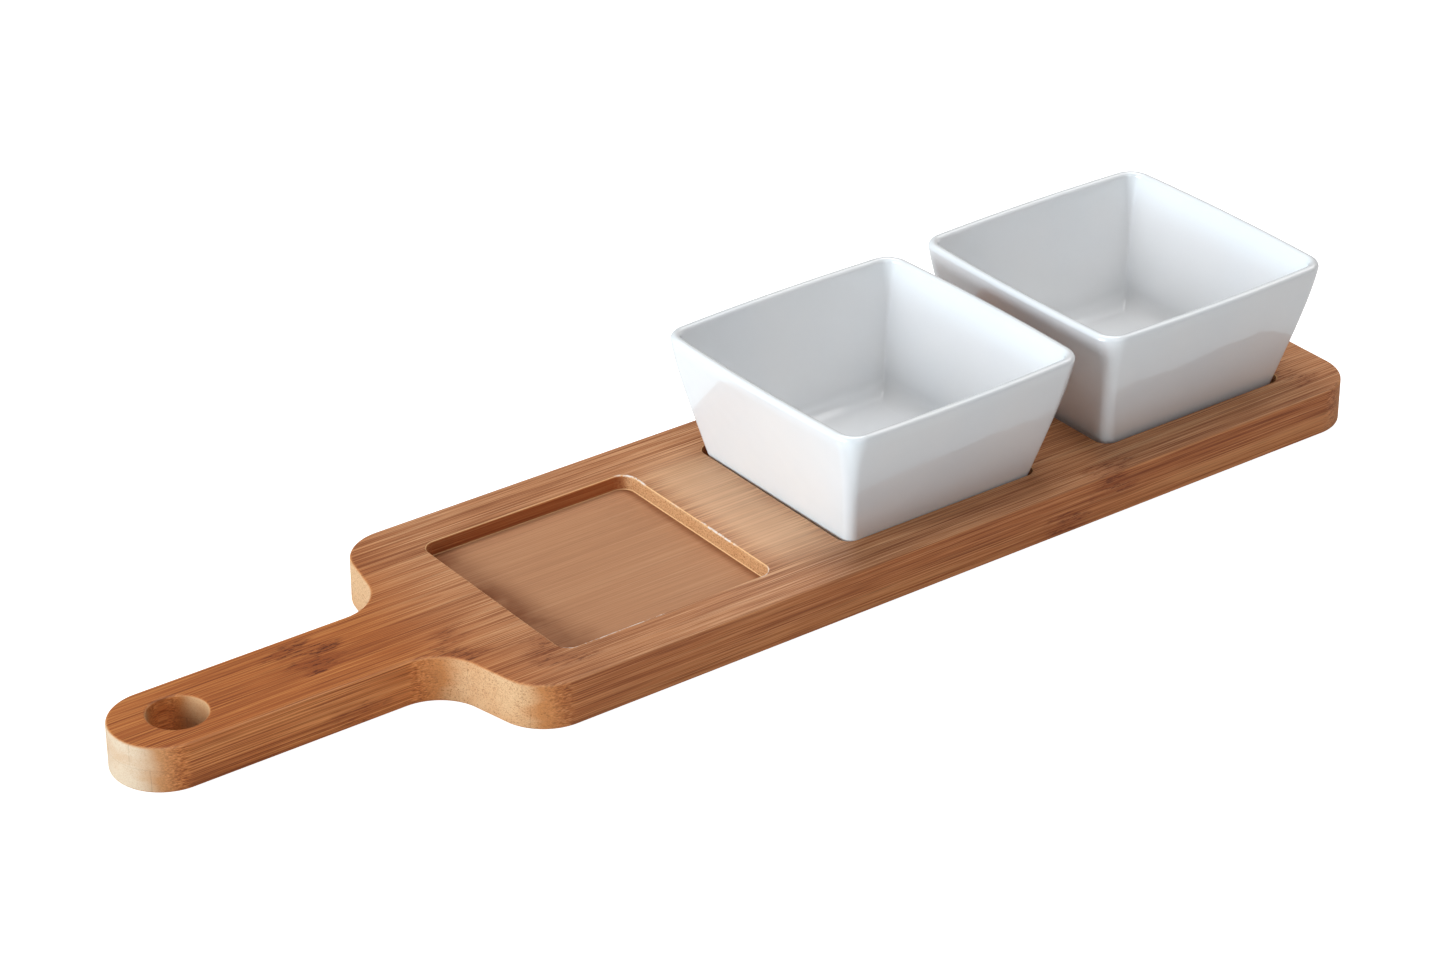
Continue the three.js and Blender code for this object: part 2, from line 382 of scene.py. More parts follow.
def board_mesh(board, length, width, thickness):
    """The whole board as one closed mesh, before it is divided into strips."""
    mesh = bmesh.new()
    outline = paddle_loop(board, length, width)
    edge = quarter_profile(board.arris, ARRIS_STEPS)
    rings = [add_ring(mesh, outline, -inset, rise) for inset, rise in edge]
    rings += [add_ring(mesh, outline, -inset, thickness - rise) for inset, rise in reversed(edge)]
    bridge_all(mesh, rings)
    top_rings = [rings[-1]]
    bottom_rings = [rings[0]]

    hole = arc(board.hole_x, 0, board.hole_radius, 0, 4 * QUARTER, board.arc_step)[:-1]
    edge = quarter_profile(board.hole_arris, ARRIS_STEPS)
    rings = [add_ring(mesh, hole, inset, rise) for inset, rise in edge]
    rings += [add_ring(mesh, hole, inset, thickness - rise) for inset, rise in reversed(edge)]
    bridge_all(mesh, rings, flip=True)
    top_rings.append(rings[-1])
    bottom_rings.append(rings[0])

    floor_z = thickness - board.recess_depth
    for i in range(RECESSES):
        x = board.empty_recess_x + i * board.recess_pitch
        square = square_loop(board.recess_side, board.recess_corner, x, board.arc_step)
        fillet = quarter_profile(board.floor_fillet, FILLET_STEPS)
        rings = [add_ring(mesh, square, -inset, floor_z + rise) for inset, rise in fillet]
        edge = reversed(quarter_profile(board.recess_arris, FILLET_STEPS))
        rings += [add_ring(mesh, square, inset, thickness - rise) for inset, rise in edge]
        bridge_all(mesh, rings, flip=True)
        mesh.faces.new(rings[0])
        top_rings.append(rings[-1])

    for face_rings, up in ((top_rings, 1), (bottom_rings, -1)):
        edges = [edge for ring in face_rings for edge in ring_edges(mesh, ring)]
        bmesh.ops.triangle_fill(mesh, edges=edges, use_beauty=True, normal=(0, 0, up))
    return mesh


def cut_away(mesh, point, normal):
    """Cuts the mesh by a plane, drops what lies beyond it along the normal and closes the cut."""
    everything = mesh.verts[:] + mesh.edges[:] + mesh.faces[:]
    cut = bmesh.ops.bisect_plane(
        mesh, geom=everything, dist=1e-8, plane_co=point, plane_no=normal, clear_outer=True
    )
    edges = [part for part in cut["geom_cut"] if isinstance(part, bmesh.types.BMEdge)]
    open_edges = [edge for edge in edges if edge.is_boundary]
    if open_edges:
        bmesh.ops.triangle_fill(mesh, edges=open_edges, use_beauty=False, normal=normal)


def new_piece(name, mesh, materials):
    """A Blender object from a bmesh, with its materials."""
    data = bpy.data.meshes.new(name + "_skin")
    bmesh.ops.recalc_face_normals(mesh, faces=mesh.faces)
    for face in mesh.faces:
        face.smooth = max(abs(face.normal.y), abs(face.normal.z)) < FLAT
    for edge in mesh.edges:
        edge.smooth = edge.calc_face_angle(0) < SHARP
    mesh.to_mesh(data)
    mesh.free()
    for material in materials:
        data.materials.append(material)
    piece = bpy.data.objects.new(name + "_skin", data)
    bpy.context.scene.collection.objects.link(piece)
    return piece


# ---------------------------------------------------------------- shader writing


class Shader:
    """Writes one material's nodes, a call for each."""

    def __init__(self, name):
        self.material = bpy.data.materials.new(name)
        self.material.use_nodes = True
        self.tree = self.material.node_tree
        self.tree.nodes.clear()

    def node(self, kind, **settings):
        """A new node with its settings."""
        made = self.tree.nodes.new(kind)
        for key, value in settings.items():
            setattr(made, key, value)
        return made

    def put(self, socket, value):
        """Gives a socket a link or a plain value."""
        if isinstance(value, bpy.types.NodeSocket):
            self.tree.links.new(value, socket)
        elif isinstance(value, (tuple, list)) and socket.type == "RGBA":
            socket.default_value = (*value, 1) if len(value) == 3 else value
        else:
            socket.default_value = value

    def math(self, operation, a, b=0.0, clamp=False):
        """One step of arithmetic on one or two values."""
        made = self.node("ShaderNodeMath", operation=operation, use_clamp=clamp)
        self.put(made.inputs[0], a)
        self.put(made.inputs[1], b)
        return made.outputs[0]

    def add(self, first, *others, clamp=False):
        """The sum of all the values, kept to 0 to 1 where clamp is true."""
        for value in others[:-1]:
            first = self.math("ADD", first, value)
        return self.math("ADD", first, others[-1], clamp=clamp)

    def times(self, first, *others):
        """The product of all the values."""
        for value in others:
            first = self.math("MULTIPLY", first, value)
        return first

    def minus(self, a, b):
        """a less b."""
        return self.math("SUBTRACT", a, b)

    def size(self, value):
        """The value without its sign."""
        return self.math("ABSOLUTE", value)

    def distance(self, a, b):
        """How far the point (a, b) is from (0, 0)."""
        return self.math("SQRT", self.add(self.times(a, a), self.times(b, b)))

    def mix(self, share, a, b, mode="MIX"):
        """Colour a turning into b, or into what the mode makes of both, as share goes to 1."""
        made = self.node("ShaderNodeMix", data_type="RGBA", blend_type=mode)
        self.put(made.inputs[0], share)
        self.put(made.inputs[6], a)
        self.put(made.inputs[7], b)
        return made.outputs[2]

    def ease(self, value, low, high):
        """0 below low, 1 above high, with a smooth rise between; high may be below low."""
        made = self.node("ShaderNodeMapRange", interpolation_type="SMOOTHSTEP")
        flip = high < low
        self.put(made.inputs["Value"], value)
        made.inputs["From Min"].default_value = min(low, high)
        made.inputs["From Max"].default_value = max(low, high)
        made.inputs["To Min"].default_value = 1 if flip else 0
        made.inputs["To Max"].default_value = 0 if flip else 1
        return made.outputs["Result"]

    def place(self, vector, scale, shift=(0, 0, 0)):
        """A position stretched and shifted, to feed a texture."""
        made = self.node("ShaderNodeMapping", vector_type="POINT")
        self.put(made.inputs["Vector"], vector)
        made.inputs["Scale"].default_value = scale
        made.inputs["Location"].default_value = shift
        return made.outputs[0]

    def noise(self, vector, detail=2.0, roughness=0.5):
        """Soft random clouds around 0.5, one or so in each unit of the vector."""
        made = self.node("ShaderNodeTexNoise", noise_dimensions="3D")
        self.put(made.inputs["Vector"], vector)
        made.inputs["Scale"].default_value = 1
        made.inputs["Detail"].default_value = detail
        made.inputs["Roughness"].default_value = roughness
        return made.outputs["Fac"]

    def cells(self, vector):
        """Distance to the nearest of a scatter of points, one in each unit cell."""
        made = self.node("ShaderNodeTexVoronoi", voronoi_dimensions="3D", feature="F1")
        self.put(made.inputs["Vector"], vector)
        made.inputs["Scale"].default_value = 1
        return made.outputs["Distance"]

    def wrap(self, value, span):
        """The value moved by whole spans until it is within half a span of 0."""
        made = self.node("ShaderNodeMath", operation="WRAP")
        self.put(made.inputs[0], value)
        made.inputs[1].default_value = span / 2
        made.inputs[2].default_value = -span / 2
        return made.outputs[0]

    def split(self, vector):
        """The three parts of a vector."""
        made = self.node("ShaderNodeSeparateXYZ")
        self.put(made.inputs[0], vector)
        return made.outputs[0], made.outputs[1], made.outputs[2]

    def bump(self, height, distance, strength):
        """A normal that leans as if the surface had this height."""
        made = self.node("ShaderNodeBump")
        self.put(made.inputs["Height"], height)
        made.inputs["Distance"].default_value = distance
        made.inputs["Strength"].default_value = strength
        return made.outputs[0]

    def finish(self, **sockets):
        """The surface shader; each keyword names a socket of it, with _ for a space."""
        surface = self.node("ShaderNodeBsdfPrincipled")
        output = self.node("ShaderNodeOutputMaterial")
        for key, value in sockets.items():
            self.put(surface.inputs[key.replace("_", " ")], value)
        self.tree.links.new(surface.outputs[0], output.inputs["Surface"])
        return self.material


# ---------------------------------------------------------------- materials


class BambooShader(Shader):
    """The material of one strip, with the places and the grain that several parts of it use.

    Fibre bundles are a field of cells stretched along X, so they show as long streaks on the
    faces along the grain and as dots on end grain. number sets this strip's own part of it.
    """

    def __init__(self, name, number, strip, colours, board, thickness):
        super().__init__(name)
        self.strip = strip
        self.colours = colours
        self.board = board
        self.top = thickness
        coordinates = self.node("ShaderNodeTexCoord")
        self.here = coordinates.outputs["Object"]
        self.x, self.y, self.z = self.split(self.here)
        self.nx, self.ny, self.nz = self.split(coordinates.outputs["Normal"])
        self.shift = (number * 3.7, number * 5.3, number * 2.9)
        self.lines = self.grain((12, 1500, 1500), 3, 0.6)
        self.hairs = self.grain((24, 3300, 3300), 2, 0.6)
        self.coarse = self.ease(self.bundles((24, 1400, 1400)), 0.50, 0.18)
        self.fine = self.ease(self.bundles((55, 2900, 2900)), 0.55, 0.2)
        self.crowd = self.ease(self.grain((10, 620, 620), 3, 0.7), 0.44, 0.66)
        self.find_recesses()

    def grain(self, stretch, detail, roughness=0.5):
        """Noise that differs from strip to strip."""
        return self.noise(self.place(self.here, stretch, self.shift), detail, roughness)

    def bundles(self, stretch):
        """Distance to the nearest fibre, differing from strip to strip."""
        return self.cells(self.place(self.here, stretch, self.shift))

    def clouds(self, stretch, shift, detail, roughness=0.5):
        """Noise that runs on across the strips."""
        return self.noise(self.place(self.here, stretch, shift), detail, roughness)

    def between(self, value, rise, fall):
        """1 between the rise and the fall, each a pair of values that ease is given."""
        return self.times(self.ease(value, *rise), self.ease(value, *fall))

    def find_recesses(self):
        """Where each point lies against the recesses, which are folded onto one."""
        board = self.board
        half = board.recess_side / 2
        straight = half - board.recess_corner
        self.recess_half = half
        self.recess_x = self.minus(self.x, board.empty_recess_x)
        self.folded_x = self.wrap(self.recess_x, board.recess_pitch)
        past_x = self.math("MAXIMUM", self.minus(self.size(self.folded_x), straight), 0.0)
        past_y = self.math("MAXIMUM", self.minus(self.size(self.y), straight), 0.0)
        self.reach = self.add(self.distance(past_x, past_y), straight)
        self.on_body = self.ease(self.recess_x, -half - 8 * MM, -half - 5 * MM)
        inside = self.ease(self.reach, half + 0.6 * MM, half + 0.2 * MM)
        self.in_recess = self.times(inside, self.on_body)
        below_face = self.ease(self.z, self.top - 0.2 * MM, self.top - 1.0 * MM)
        floor_z = self.top - board.recess_depth
        above_floor = self.ease(self.z, floor_z - 1 * MM, floor_z - 0.3 * MM)
        self.pocket = self.times(below_face, above_floor, self.in_recess)
        self.facing_up = self.ease(self.nz, 0.8, 0.98)
        self.on_floor = self.times(self.pocket, self.facing_up)


def long_grain(s):
    """Cane in bands, lines and hairlines over the strip's own tone, with the dark fibres in it."""
    bands = s.grain((6, 400, 300), 3, 0.55)
    clouds = s.grain((16, 30, 30), 2)
    shares = [(bands, 0.6), (s.lines, 1.8), (s.hairs, 2.6), (clouds, 0.6)]
    middle = sum(share for _, share in shares) / 2
    parts = [s.times(texture, share) for texture, share in shares]
    tone = s.add(*parts, s.strip.tone - middle, clamp=True)
    cane = s.mix(s.ease(tone, 0.0, 0.5), tuple(s.colours.straw), tuple(s.colours.honey))
    cane = s.mix(s.ease(tone, 0.45, 1.1), cane, tuple(s.colours.amber))
    crowded = s.times(s.coarse, s.add(s.times(s.crowd, 0.42), 0.06))
    dark = s.add(crowded, s.times(s.fine, 0.19), clamp=True)
    return s.mix(dark, cane, tuple(s.colours.fibre))


def growth_rings(s, colour):
    """A reddish patch across the strip at each growth ring, where the fibres tangle."""
    along = s.wrap(s.minus(s.x, s.strip.node_x), s.strip.node_gap)
    wander = s.grain((30, 160, 160), 3, 0.6)
    to_ring = s.add(along, s.times(s.minus(wander, 0.5), 45 * MM))
    ring = s.ease(s.size(to_ring), 11 * MM, 2 * MM)
    tangle = s.grain((200, 1500, 1500), 3, 0.65)
    knots = s.times(ring, s.ease(tangle, 0.53, 0.59))
    colour = s.mix(s.times(ring, s.strip.ring, 0.42), colour, tuple(s.colours.ring))
    return s.mix(s.times(knots, s.strip.ring), colour, tuple(s.colours.fibre))


def rubbed_oil(s, colour):
    """The grip took up more oil than the body, and the planed sides more than the face."""
    side = s.ease(s.size(s.ny), 0.45, 0.85)
    on_handle = s.ease(s.x, -85 * MM, -140 * MM)
    grip = s.times(on_handle, s.minus(1.0, side))
    colour = s.mix(grip, colour, GRIP_OIL, mode="MULTIPLY")
    colour = s.mix(side, colour, PLANED_SIDE, mode="MULTIPLY")
    return s.mix(s.times(on_handle, side), colour, GRIP_SIDE, mode="MULTIPLY")


def end_grain(s):
    """Pale and warm clouds with a dot where each bundle is cut through, palest at the tip."""
    patch = s.clouds((30, 45, 90), (1.3, 2.1, 0.4), 3, 0.6)
    turned = s.ease(s.size(s.nx), 0.93, 0.45)
    warm = s.add(s.times(s.ease(patch, 0.40, 0.70), 0.5), turned, clamp=True)
    cut = s.mix(warm, tuple(s.colours.cut_pale), tuple(s.colours.cut_warm))
    off_tip = s.ease(s.x, -175 * MM, -160 * MM)
    cut = s.mix(off_tip, cut, SHOULDER_CUT, mode="MULTIPLY")
    dots = s.times(s.coarse, s.add(s.times(s.crowd, 0.40), 0.30))
    dots = s.add(dots, s.times(s.fine, 0.42), clamp=True)
    dots = s.times(dots, s.add(s.times(off_tip, 0.68), 0.32))
    cut = s.mix(dots, cut, tuple(s.colours.cut_dot))
    cut = s.mix(s.times(s.ease(s.hairs, 0.44, 0.62), 0.22), cut, tuple(s.colours.cut_warm))

    # Painted shade darkens the wall of the hanging hole, and the router burnished the walls of the
    # recesses.
    from_hole = s.distance(s.minus(s.x, s.board.hole_x), s.y)
    radius = s.board.hole_radius
    shaded_hole_wall = s.ease(from_hole, radius + 1.4 * MM, radius + 0.8 * MM)
    cut = s.mix(shaded_hole_wall, cut, HOLE_WALL_SHADE, mode="MULTIPLY")
    cut = s.mix(s.times(s.pocket, 0.75), cut, tuple(s.colours.recess_wall))
    return s.mix(s.times(s.pocket, dots), cut, tuple(s.colours.amber))


def painted_arris_highlights(s, colour):
    """Painted highlight: arrises are painted a little paler than the faces, most of all round the
    recesses.
    """
    tilt = s.size(s.nz)
    rounded = s.between(tilt, (0.10, 0.45), (0.99, 0.80))
    # Painted highlight on every rounded arris, with a stronger one round the recesses
    colour = s.mix(s.times(rounded, 0.18), colour, tuple(s.colours.straw))
    return s.mix(s.times(rounded, s.in_recess, 0.85), colour, tuple(s.colours.recess_rim_highlight))


def recess_wall_shade_and_floor(s, colour):
    """Painted shade on the recess walls that face along Y, and a drier floor."""
    shaded_side_wall = s.times(s.pocket, s.ease(s.size(s.ny), 0.5, 0.9))
    # Painted shade: the walls facing along Y are darkened towards the growth-ring colour
    colour = s.mix(s.times(shaded_side_wall, 0.6), colour, tuple(s.colours.ring))
    return s.mix(s.times(s.on_floor, 0.73), colour, tuple(s.colours.recess_floor))


def floor_shadow_and_marks(s, colour):
    """Painted shadow of the left wall, mixed with real smudges, along the left end of the empty recess's
    floor; a darker strip along the right end of each floor; and a scorch in a corner of the empty one.
    """
    left = -s.recess_half
    right = s.recess_half
    smudge = s.clouds((38, 46, 10), (2.1, 0.4, 0), 3, 0.6)
    spread = s.times(s.ease(s.y, 10 * MM, -40 * MM), -7 * MM)
    by_left = s.ease(s.add(s.recess_x, spread), left + 19 * MM, left + 1 * MM)
    by_right = s.ease(s.folded_x, right - 4 * MM, right - 0.8 * MM)
    blotched = s.add(s.times(s.ease(smudge, 0.40, 0.62), 0.55), 0.5)
    # Painted shadow of the left wall mixed with smudges at the left end; the right end is only darkened
    shadow_and_stain = s.add(s.times(blotched, by_left), s.times(by_right, 0.55), clamp=True)
    colour = s.mix(s.times(shadow_and_stain, s.on_floor), colour, FLOOR_SHADOW_AND_STAIN, mode="MULTIPLY")
    at_end = s.ease(s.recess_x, left + 6 * MM, left + 1.5 * MM)
    at_front = s.ease(s.y, 8 * MM, -16 * MM)
    scorch = s.times(at_end, at_front, s.ease(smudge, 0.26, 0.48), s.on_floor)
    return s.mix(s.times(scorch, 0.85), colour, tuple(s.colours.scorch))


def painted_bridge_sheen(s, colour):
    """Painted sheen: the bridge between the first two recesses is painted paler than the rest of the
    face, where the near bowl's lit side would show in the oiled wood.
    """
    edge = s.recess_half
    rise = (edge - 4 * MM, edge + 11 * MM)
    fall = (edge + 36 * MM, edge + 20 * MM)
    along = s.between(s.recess_x, rise, fall)
    across = s.ease(s.size(s.y), 50 * MM, 24 * MM)
    on_face = s.times(s.facing_up, s.ease(s.z, s.top - 2 * MM, s.top - 1 * MM))
    # Painted sheen across the bridge face
    return s.mix(s.times(along, across, on_face, 0.62), colour, tuple(s.colours.bridge))


def torn_edges(s, colour):
    """Torn fibre ends in a few thin broken runs, where the cutter left the empty recess."""
    edge = s.recess_half
    runs = s.ease(s.clouds((42, 42, 10), (0.7, 3.3, 0), 1), 0.49, 0.56)
    frayed = s.ease(s.clouds((700, 700, 300), (0.7, 3.3, 0), 2), 0.36, 0.52)
    stray = s.clouds((260, 260, 10), (5.1, 1.3, 0), 2)
    off_edge = s.add(s.reach, s.times(s.minus(stray, 0.5), 1.2 * MM))
    rise = (edge - 0.10 * MM, edge + 0.08 * MM)
    fall = (edge + 0.62 * MM, edge + 0.36 * MM)
    band = s.between(off_edge, rise, fall)
    at_top = s.ease(s.z, s.top - 0.6 * MM, s.top - 0.3 * MM)
    front = s.ease(s.y, -35 * MM, -39 * MM)
    right = s.ease(s.recess_x, 35 * MM, 39 * MM)
    left_by = s.math("MAXIMUM", front, right)
    by_empty = s.times(s.on_body, s.ease(s.recess_x, edge + 5 * MM, edge + 2 * MM))
    torn = s.times(runs, frayed, band, at_top, left_by, by_empty)
    return s.mix(s.times(torn, 0.95), colour, tuple(s.colours.torn))


def glue_lines(s, colour, sides):
    """Glue along the strip's own joints and between the plies, broken where it is thin."""
    low_side, high_side = sides
    to_joint = s.math("MINIMUM", s.minus(s.y, low_side), s.minus(high_side, s.y))
    to_ply = s.size(s.minus(s.z, s.top / 2))
    line = s.ease(s.math("MINIMUM", to_joint, to_ply), 0.16 * MM, 0.03 * MM)
    broken = s.ease(s.grain((22, 22, 300), 3, 0.7), 0.40, 0.66)
    glue = s.times(line, s.add(s.times(broken, 0.26), 0.04))
    return s.mix(glue, colour, tuple(s.colours.glue))


def bamboo_material(name, number, strip, colours, board, thickness, sides):
    """One strip of oiled bamboo."""
    s = BambooShader(name, number, strip, colours, board, thickness)
    along = rubbed_oil(s, growth_rings(s, long_grain(s)))
    cuts_grain = s.ease(s.size(s.nx), 0.12, 0.75)
    colour = s.mix(cuts_grain, along, end_grain(s))
    for work in (painted_arris_highlights, recess_wall_shade_and_floor, floor_shadow_and_marks, painted_bridge_sheen, torn_edges):
        colour = work(s, colour)
    colour = glue_lines(s, colour, sides)

    # The cane takes up more oil than the fibres, and the recess floors and end grain stay dry.
    rough = s.add(s.times(s.lines, 0.20), colours.roughness - 0.10)
    rough = s.add(rough, s.times(s.add(s.on_floor, cuts_grain), 0.16), clamp=True)
    height = s.add(s.times(s.hairs, -1.0), s.times(s.coarse, -0.4), s.times(s.lines, -0.8))
    relief = s.bump(height, 0.05 * MM, 0.55)
    return s.finish(Base_Color=colour, Roughness=rough, Specular_IOR_Level=0.25, Normal=relief)


def glaze_material(colours):
    """Gloss white glaze, pooled a little unevenly over the fired body."""
    s = Shader("white_glaze")
    place = s.node("ShaderNodeTexCoord").outputs["Object"]
    pooling = s.noise(s.place(place, (28, 28, 28)), detail=2)
    drift = s.ease(pooling, 0.35, 0.7)
    white = tuple(colours.glaze)
    cool = tuple(channel * share for channel, share in zip(white, (0.97, 0.985, 1.0)))
    colour = s.mix(drift, white, cool)
    waves = s.noise(s.place(place, (48, 48, 60)), detail=2, roughness=0.6)
    relief = s.bump(waves, 0.38 * MM, 0.6)
    return s.finish(
        Base_Color=colour,
        Roughness=colours.roughness,
        IOR=1.5,
        Coat_Weight=1.0,
        Coat_Roughness=colours.coat_roughness,
        Coat_IOR=1.55,
        Coat_Normal=relief,
    )


def biscuit_material(colours):
    """The unglazed ring that the bowl was fired on: dry, slightly cream and finely gritty."""
    s = Shader("fired_biscuit")
    place = s.node("ShaderNodeTexCoord").outputs["Object"]
    grit = s.noise(s.place(place, (1800, 1800, 1800)), detail=3, roughness=0.7)
    clouds = s.noise(s.place(place, (90, 90, 90)), detail=2)
    body = tuple(colours.biscuit)
    dusty = tuple(channel * 0.82 for channel in body)
    share = s.times(s.add(grit, clouds), 0.5)
    colour = s.mix(s.ease(share, 0.35, 0.65), body, dusty)
    relief = s.bump(grit, 0.05 * MM, 0.6)
    return s.finish(Base_Color=colour, Roughness=0.85, IOR=1.5, Normal=relief)


def floor_material(glow):
    """Matt white studio floor, lit so far up that it shows no tone of its own."""
    s = Shader("studio_white")
    place = s.node("ShaderNodeTexCoord").outputs["Object"]
    mottle = s.noise(s.place(place, (3, 3, 3)), detail=2)
    colour = s.mix(mottle, (0.60, 0.60, 0.60), (0.62, 0.62, 0.62))
    rays = s.node("ShaderNodeLightPath").outputs
    in_gloss = s.times(rays["Is Glossy Ray"], GLOW_IN_GLOSS)
    seen = s.math("MAXIMUM", rays["Is Camera Ray"], in_gloss)
    return s.finish(
        Base_Color=colour,
        Roughness=0.9,
        Emission_Color=(1, 1, 1),
        Emission_Strength=s.times(seen, glow),
    )


# ---------------------------------------------------------------- board


def strip_sides(name):
    """The strip's lowest and highest Y, with the outer faces pushed out so only joints count."""
    low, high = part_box(name)
    edge = cad_high.y - 0.5 * MM
    out = 10 * MM
    low_side = low.y if low.y > -edge else low.y - out
    high_side = high.y if high.y < edge else high.y + out
    return low_side, high_side


def board_box():
    """The lowest and highest corners of all the strips together."""
    corners = [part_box(name) for name in TOP_STRIPS + BOTTOM_STRIPS]
    low = Vector([min(pair[0][i] for pair in corners) for i in range(3)])
    high = Vector([max(pair[1][i] for pair in corners) for i in range(3)])
    return low, high


def strip_mesh(whole, name, low, high):
    """One strip's part of the whole board, out to the middle of the glue on each side."""
    mesh = whole.copy()
    box_low, box_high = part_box(name)
    away = -1 if name in TOP_STRIPS else 1
    cut_away(mesh, (0, 0, (high.z - low.z) / 2), (0, 0, away))
    if box_low.y > low.y + MM:
        cut_away(mesh, (0, box_low.y - GLUE_GAP / 2, 0), (0, -1, 0))
    if box_high.y < high.y - MM:
        cut_away(mesh, (0, box_high.y + GLUE_GAP / 2, 0), (0, 1, 0))
    return mesh


class SERVER_OT_board(bpy.types.Operator):
    """Build the bamboo board, one piece for each glued strip"""

    bl_idname = "server.board"
    bl_label = "Bamboo board"

    def execute(self, context):
        board = context.scene.server_board
        colours = context.scene.server_bamboo
        low, high = board_box()
        length, width, thickness = high - low
        whole = board_mesh(board, length, width, thickness)
        finishes = context.scene.server_strips
        for number, name in enumerate(TOP_STRIPS + BOTTOM_STRIPS):
            mesh = strip_mesh(whole, name, low, high)
            sides = strip_sides(name)
            strip = finishes[number]
            material = bamboo_material(
                "bamboo_" + name, number, strip, colours, board, thickness, sides
            )
            piece = new_piece(name, mesh, [material])
            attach(piece, "board")
            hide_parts(name)
        whole.free()
        return {"FINISHED"}


# ---------------------------------------------------------------- bowls


def bowl_ring(side, radius, bow):
    """A rounded square whose sides swell by bow at their middles."""
    reach = side / 2 - radius
    ring = []
    for i in range(4):
        turn = Matrix.Rotation(i * QUARTER, 2)
        for j in range(CORNER_STEPS + 1):
            angle = QUARTER * j / CORNER_STEPS
            corner = Vector((reach + radius * math.cos(angle), reach + radius * math.sin(angle)))
            ring.append(turn @ corner)
        for j in range(1, SIDE_STEPS):
            t = 2 * j / SIDE_STEPS - 1
            ring.append(turn @ Vector((-t * reach, side / 2 + bow * (1 - t * t))))
    return ring


def bowl_profile(bowl, height):
    """(side, z, is the foot) from the middle of the underside, out, up, over the lip and down."""
    slope = (bowl.rim_side - bowl.base_side) / height
    lip = bowl.wall / 2
    foot_side = bowl.base_side - 2 * bowl.foot_inset
    rows = [
        (foot_side / 2, bowl.foot_height, False),
        (foot_side - 2 * MM, bowl.foot_height, False),
        (foot_side - 0.6 * MM, bowl.foot_height * 0.75, False),
        (foot_side, bowl.foot_height * 0.3, False),
        (foot_side + 1 * MM, 0, False),
    ]
    for i in range(FOOT_STEPS + 1):
        angle = QUARTER * i / FOOT_STEPS
        z = bowl.foot_radius * (1 - math.cos(angle))
        side = bowl.base_side + slope * z - 2 * bowl.foot_radius * (1 - math.sin(angle))
        rows.append((side, z, i == 0))
    for i in range(1, WALL_STEPS):
        z = bowl.foot_radius + (height - lip - bowl.foot_radius) * i / WALL_STEPS
        rows.append((bowl.base_side + slope * z, z, False))
    for i in range(LIP_STEPS + 1):
        angle = math.pi * i / LIP_STEPS
        middle = bowl.rim_side - slope * lip - 2 * lip
        rows.append((middle + 2 * lip * math.cos(angle), height - lip + lip * math.sin(angle), False))
    inner_foot = bowl.floor + bowl.floor_radius
    for i in range(1, WALL_STEPS):
        z = height - lip + (inner_foot - height + lip) * i / WALL_STEPS
        rows.append((bowl.base_side + slope * z - 2 * bowl.wall, z, False))
    wall = bowl.base_side + slope * inner_foot - 2 * bowl.wall
    for i in range(CORNER_STEPS + 1):
        angle = QUARTER * i / CORNER_STEPS
        z = bowl.floor + bowl.floor_radius * (1 - math.sin(angle))
        rows.append((wall - 2 * bowl.floor_radius * (1 - math.cos(angle)), z, False))
    rows.append(((wall - 2 * bowl.floor_radius) / 2, bowl.floor, False))
    return rows


def bowl_mesh(bowl, centre, base_z, height, turn, slump, twist):
    """One bowl as a closed skin, its underside ringed by an unglazed foot.

    slump and twist are how far the rim moved and turned over the foot as the bowl was fired.
    """
    mesh = bmesh.new()
    slope = (bowl.rim_side - bowl.base_side) / height
    rings = []
    foot_rows = []
    for row, (side, z, is_foot) in enumerate(bowl_profile(bowl, height)):
        share = min(max(z / height, 0), 1)
        corner = bowl.base_corner + (bowl.rim_corner - bowl.base_corner) * share**bowl.corner_flare
        inset = (bowl.base_side + slope * z - side) / 2
        radius = max(corner - inset, SMALLEST_CORNER)
        ring = []
        spin = Matrix.Rotation(turn + twist * share, 2)
        middle = Vector(centre) + Vector(slump) * share
        for point in bowl_ring(side, radius, bowl.side_bow * share):
            flat = spin @ point + middle
            ring.append(mesh.verts.new((flat.x, flat.y, base_z + z)))
        rings.append(ring)
        if is_foot:
            foot_rows.append(row)
    for row, (lower, upper) in enumerate(zip(rings, rings[1:])):
        bridge(mesh, lower, upper, material=1 if row + 1 in foot_rows else 0)
    for ring in (rings[0], rings[-1]):
        mesh.faces.new(ring)
    return mesh


class SERVER_OT_bowls(bpy.types.Operator):
    """Build the two porcelain dip bowls in their recesses"""

    bl_idname = "server.bowls"
    bl_label = "Dip bowls"

    def execute(self, context):
        bowl = context.scene.server_bowl
        colours = context.scene.server_porcelain
        materials = [glaze_material(colours), biscuit_material(colours)]
        for name, (turn, slump_x, slump_y, twist) in BOWLS.items():
            low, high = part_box(name)
            centre = ((low + high) / 2).xy
            slump = (slump_x * MM, slump_y * MM)
            mesh = bowl_mesh(
                bowl, centre, low.z, high.z - low.z, math.radians(turn), slump, math.radians(twist)
            )
            piece = new_piece(name, mesh, materials)
            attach(piece, name)
            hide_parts(name)
        return {"FINISHED"}


# ---------------------------------------------------------------- stage


def look_from(azimuth, elevation):
    """Unit vector from the aimed point back to the camera or light."""
    level = math.cos(elevation)
    return Vector((math.sin(azimuth) * level, -math.cos(azimuth) * level, math.sin(elevation)))


